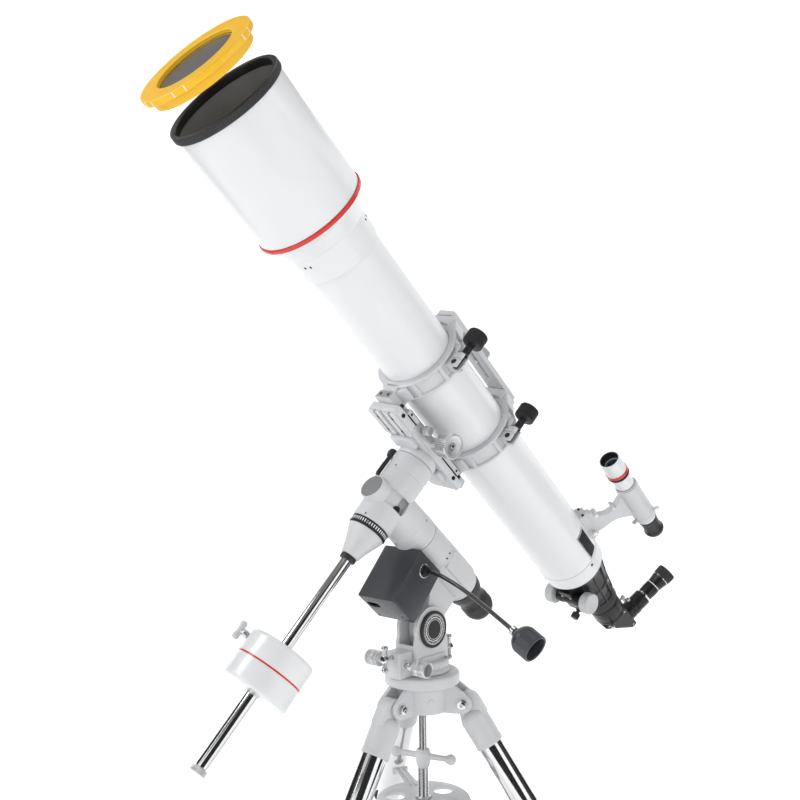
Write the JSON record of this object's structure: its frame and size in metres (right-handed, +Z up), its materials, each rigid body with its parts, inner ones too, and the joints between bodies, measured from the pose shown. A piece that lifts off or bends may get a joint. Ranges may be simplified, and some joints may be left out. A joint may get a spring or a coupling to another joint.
{
  "type": "refractor telescope",
  "caption": "Refractor telescope on a German equatorial mount with counterweight, tube rings, finder, star diagonal, solar filter and an adjustable tripod.",
  "frame": {"origin": "floor level, at the middle of the bounding box seen from above", "axes": "+Z up; the tube looks up and towards -Y; +X is the side with the clamp knobs, the ring knobs and the slow-motion cable"},
  "size_m": [0.893, 1.3842, 1.8138],
  "materials": {
    "white_casting": "satin white paint",
    "white_tube": "gloss white paint",
    "white_weight": "satin white paint",
    "bare_metal": "polished",
    "grey_metal": "satin",
    "black_metal": "satin black",
    "black_plastic": "fine texture",
    "charcoal_plastic": "satin",
    "black_rubber": "matt",
    "yellow_metal": "gloss paint",
    "solar_film": "dark mirror film",
    "coated_glass": "coated"
  },
  "bodies": {
    "tripod": {"tripod_head": "white_casting", "tension_rod": "bare_metal"},
    "tray": {"spreader_tray": "grey_metal"},
    "handle_nut": {"t_handle_nut": "bare_metal"},
    "mount_base": {"azimuth_base": "white_casting"},
    "azimuth_knob_left": {"azimuth_knob_left": "bare_metal"},
    "azimuth_knob_right": {"azimuth_knob_right": "bare_metal"},
    "latitude_bolt_front": {"latitude_bolt_front": "bare_metal"},
    "latitude_bolt_rear": {"latitude_bolt_rear": "bare_metal"},
    "polar_axis": {"polar_housing": "white_casting", "latitude_disc": "grey_metal", "gearbox_cover": "charcoal_plastic", "slow_motion_cable": "black_rubber"},
    "slow_motion_knob": {"slow_motion_knob": "charcoal_plastic"},
    "polar_cap": {"polar_scope_cap": "black_plastic"},
    "declination_housing": {"dec_housing": "white_casting", "dec_nosepiece": "white_casting", "counterweight_shaft": "bare_metal"},
    "clutch_lever": {"dec_clutch_lever": "black_metal"},
    "setting_circle": {"dec_setting_circle": "black_plastic"},
    "counterweight": {"counterweight": "white_weight"},
    "counterweight_screw": {"counterweight_screw": "bare_metal"},
    "shaft_end_cap": {"shaft_end_cap": "bare_metal"},
    "saddle": {"saddle": "white_casting", "dovetail_plate": "grey_metal", "ring_front_lower": "white_casting", "ring_rear_lower": "white_casting"},
    "saddle_knob_large": {"saddle_knob_large": "bare_metal"},
    "saddle_knob_small": {"saddle_knob_small": "bare_metal"},
    "ring_tops": {"ring_front_upper": "white_casting", "ring_rear_upper": "white_casting", "accessory_plate": "white_casting"},
    "ring_knob_front": {"ring_knob_front": "black_plastic"},
    "ring_knob_rear": {"ring_knob_rear": "black_plastic"},
    "camera_knob": {"camera_knob": "black_plastic"},
    "optical_tube": {"main_tube": "white_tube", "lens_cell": "white_tube", "objective_lens": "coated_glass", "dew_shield": "white_tube", "focuser_body": "black_metal", "finder_bracket": "white_casting"},
    "solar_filter": {"solar_filter_ring": "yellow_metal", "solar_film": "solar_film"},
    "drawtube": {"drawtube": "black_metal"},
    "focus_knobs": {"focus_knobs": "grey_metal"},
    "diagonal": {"diagonal": "black_metal"},
    "eyepiece": {"eyepiece": "black_metal"},
    "finder": {"finder_tube": "white_tube"},
    "leg_1": {"leg_1_sleeve": "white_casting", "leg_1_tube": "bare_metal"},
    "leg_1_foot": {"leg_1_extension": "grey_metal"},
    "leg_1_lock": {"leg_1_lock_knob": "black_plastic"},
    "leg_2": {"leg_2_sleeve": "white_casting", "leg_2_tube": "bare_metal"},
    "leg_2_foot": {"leg_2_extension": "grey_metal"},
    "leg_2_lock": {"leg_2_lock_knob": "black_plastic"},
    "leg_3": {"leg_3_sleeve": "white_casting", "leg_3_tube": "bare_metal"},
    "leg_3_foot": {"leg_3_extension": "grey_metal"},
    "leg_3_lock": {"leg_3_lock_knob": "black_plastic"}
  },
  "joints": [
    {"name": "leg_1_fold", "type": "hinge", "parent": "tripod", "child": "leg_1", "pos_m": [0, -0.17134, 0.646], "axis": [1, 0, 0], "range_deg": [0, 5]},
    {"name": "leg_1_extend", "type": "slide", "parent": "leg_1", "child": "leg_1_foot", "axis": [0, 0.5299, 0.848], "range_m": [0, 0.26]},
    {"name": "leg_1_lock_turn", "type": "hinge", "parent": "leg_1", "child": "leg_1_lock", "pos_m": [0, -0.40663, 0.32607], "axis": [0, -0.848, 0.5299], "continuous": true},
    {"name": "leg_2_fold", "type": "hinge", "parent": "tripod", "child": "leg_2", "pos_m": [0.07101, -0.04834, 0.646], "axis": [-0.5, 0.866, 0], "range_deg": [0, 5]},
    {"name": "leg_2_extend", "type": "slide", "parent": "leg_2", "child": "leg_2_foot", "axis": [-0.4589, -0.265, 0.848], "range_m": [0, 0.26]},
    {"name": "leg_2_lock_turn", "type": "hinge", "parent": "leg_2", "child": "leg_2_lock", "pos_m": [0.27478, 0.0693, 0.32607], "axis": [0.7344, 0.424, 0.5299], "continuous": true},
    {"name": "leg_3_fold", "type": "hinge", "parent": "tripod", "child": "leg_3", "pos_m": [-0.07101, -0.04834, 0.646], "axis": [-0.5, -0.866, 0], "range_deg": [0, 5]},
    {"name": "leg_3_extend", "type": "slide", "parent": "leg_3", "child": "leg_3_foot", "axis": [0.4589, -0.265, 0.848], "range_m": [0, 0.26]},
    {"name": "leg_3_lock_turn", "type": "hinge", "parent": "leg_3", "child": "leg_3_lock", "pos_m": [-0.27478, 0.0693, 0.32607], "axis": [-0.7344, 0.424, 0.5299], "continuous": true},
    {"name": "tray_lower", "type": "slide", "parent": "tripod", "child": "tray", "axis": [0, 0, -1], "range_m": [0, 0.045]},
    {"name": "handle_turn", "type": "hinge", "parent": "tray", "child": "handle_nut", "pos_m": [0, -0.08934, 0.536], "axis": [0, 0, 1], "continuous": true},
    {"name": "azimuth", "type": "hinge", "parent": "tripod", "child": "mount_base", "pos_m": [0, -0.08934, 0.7], "axis": [0, 0, 1], "range_deg": [-8, 8]},
    {"name": "azimuth_screw_left", "type": "slide", "parent": "mount_base", "child": "azimuth_knob_left", "axis": [1, 0, 0], "range_m": [-0.0095, 0.0095]},
    {"name": "azimuth_screw_right", "type": "slide", "parent": "mount_base", "child": "azimuth_knob_right", "axis": [1, 0, 0], "range_m": [-0.0095, 0.0095]},
    {"name": "latitude", "type": "hinge", "parent": "mount_base", "child": "polar_axis", "pos_m": [0, -0.08934, 0.783], "axis": [-1, 0, 0], "range_deg": [-15, 15]},
    {"name": "latitude_screw_front", "type": "slide", "parent": "mount_base", "child": "latitude_bolt_front", "axis": [0, -1, 0], "range_m": [-0.0115, 0.0115]},
    {"name": "latitude_screw_rear", "type": "slide", "parent": "mount_base", "child": "latitude_bolt_rear", "axis": [0, -1, 0], "range_m": [-0.014, 0.014]},
    {"name": "slow_motion_turn", "type": "hinge", "parent": "polar_axis", "child": "slow_motion_knob", "pos_m": [0.248, -0.12954, 0.8236], "axis": [0.8846, 0, -0.4664], "continuous": true},
    {"name": "polar_cap_pull", "type": "slide", "parent": "polar_axis", "child": "polar_cap", "axis": [0, 0.749, -0.6626], "range_m": [0, 0.06]},
    {"name": "right_ascension", "type": "hinge", "parent": "polar_axis", "child": "declination_housing", "pos_m": [0, -0.18019, 1.02894], "axis": [0, -0.749, 0.6626], "range_deg": [-40, 60]},
    {"name": "clutch_lever_turn", "type": "hinge", "parent": "declination_housing", "child": "clutch_lever", "pos_m": [-0.01574, -0.14907, 1.11762], "axis": [-0.6097, -0.5334, 0.5863], "range_deg": [0, 60]},
    {"name": "setting_circle_turn", "type": "hinge", "parent": "declination_housing", "child": "setting_circle", "pos_m": [-0.00849, -0.22021, 0.98369], "axis": [0.1392, 0.6562, 0.7417], "continuous": true},
    {"name": "counterweight_slide", "type": "slide", "parent": "declination_housing", "child": "counterweight", "axis": [0.1392, 0.6562, 0.7417], "range_m": [-0.12, 0.17]},
    {"name": "counterweight_screw_turn", "type": "hinge", "parent": "counterweight", "child": "counterweight_screw", "pos_m": [-0.04732, -0.40329, 0.77677], "axis": [-0.6365, -0.5145, 0.5746], "continuous": true},
    {"name": "shaft_end_cap_turn", "type": "hinge", "parent": "declination_housing", "child": "shaft_end_cap", "pos_m": [-0.07724, -0.54436, 0.61731], "axis": [0.1392, 0.6562, 0.7417], "continuous": true},
    {"name": "declination", "type": "hinge", "parent": "declination_housing", "child": "saddle", "pos_m": [0, -0.18019, 1.02894], "axis": [0.1392, 0.6562, 0.7417], "range_deg": [-120, 120]},
    {"name": "saddle_knob_large_turn", "type": "hinge", "parent": "saddle", "child": "saddle_knob_large", "pos_m": [0.07824, -0.11671, 1.13715], "axis": [0.9902, -0.0818, -0.1135], "continuous": true},
    {"name": "saddle_knob_small_turn", "type": "hinge", "parent": "saddle", "child": "saddle_knob_small", "pos_m": [0.06885, -0.14365, 1.16274], "axis": [0.9902, -0.0818, -0.1135], "continuous": true},
    {"name": "ring_open", "type": "hinge", "parent": "saddle", "child": "ring_tops", "pos_m": [-0.05722, -0.02861, 1.23995], "axis": [0.0138, -0.7502, 0.6611], "range_deg": [0, 100]},
    {"name": "ring_knob_front_turn", "type": "hinge", "parent": "ring_tops", "child": "ring_knob_front", "pos_m": [0.13681, -0.10191, 1.31154], "axis": [0.1392, 0.6562, 0.7417], "continuous": true},
    {"name": "ring_knob_rear_turn", "type": "hinge", "parent": "ring_tops", "child": "ring_knob_rear", "pos_m": [0.13392, 0.05487, 1.17337], "axis": [0.1392, 0.6562, 0.7417], "continuous": true},
    {"name": "camera_knob_turn", "type": "hinge", "parent": "ring_tops", "child": "camera_knob", "pos_m": [0.04829, 0.03119, 1.29803], "axis": [0.1392, 0.6562, 0.7417], "continuous": true},
    {"name": "tube_slide", "type": "slide", "parent": "saddle", "child": "optical_tube", "axis": [0.0138, -0.7502, 0.6611], "range_m": [-0.08, 0.08]},
    {"name": "solar_filter_seat", "type": "slide", "parent": "optical_tube", "child": "solar_filter", "axis": [0.0138, -0.7502, 0.6611], "range_m": [-0.0585, 0]},
    {"name": "focus", "type": "slide", "parent": "optical_tube", "child": "drawtube", "axis": [-0.0138, 0.7502, -0.6611], "range_m": [0, 0.08]},
    {"name": "focus_knob_turn", "type": "hinge", "parent": "optical_tube", "child": "focus_knobs", "pos_m": [0.01709, 0.38634, 0.7699], "axis": [0.9902, -0.0818, -0.1135], "range_deg": [-5, 770]},
    {"name": "diagonal_turn", "type": "hinge", "parent": "drawtube", "child": "diagonal", "pos_m": [0.02317, 0.53242, 0.71772], "axis": [0.0138, -0.7502, 0.6611], "continuous": true},
    {"name": "eyepiece_pull", "type": "slide", "parent": "diagonal", "child": "eyepiece", "axis": [0.4383, 0.5988, 0.6703], "range_m": [0, 0.05]},
    {"name": "finder_slide", "type": "slide", "parent": "optical_tube", "child": "finder", "axis": [0.0138, -0.7502, 0.6611], "range_m": [-0.02, 0.02]}
  ],
  "couplings": [
    {"joint": "leg_2_fold", "follows": "leg_1_fold", "ratio": 1},
    {"joint": "leg_3_fold", "follows": "leg_1_fold", "ratio": 1},
    {"joint": "tray_lower", "follows": "leg_1_fold", "m_per_rad": 0.4985},
    {"joint": "azimuth_screw_left", "follows": "azimuth", "m_per_rad": -0.066},
    {"joint": "azimuth_screw_right", "follows": "azimuth", "m_per_rad": -0.066},
    {"joint": "latitude_screw_front", "follows": "latitude", "m_per_rad": 0.043},
    {"joint": "latitude_screw_rear", "follows": "latitude", "m_per_rad": 0.052},
    {"joint": "focus_knob_turn", "follows": "focus", "rad_per_m": 166}
  ]
}
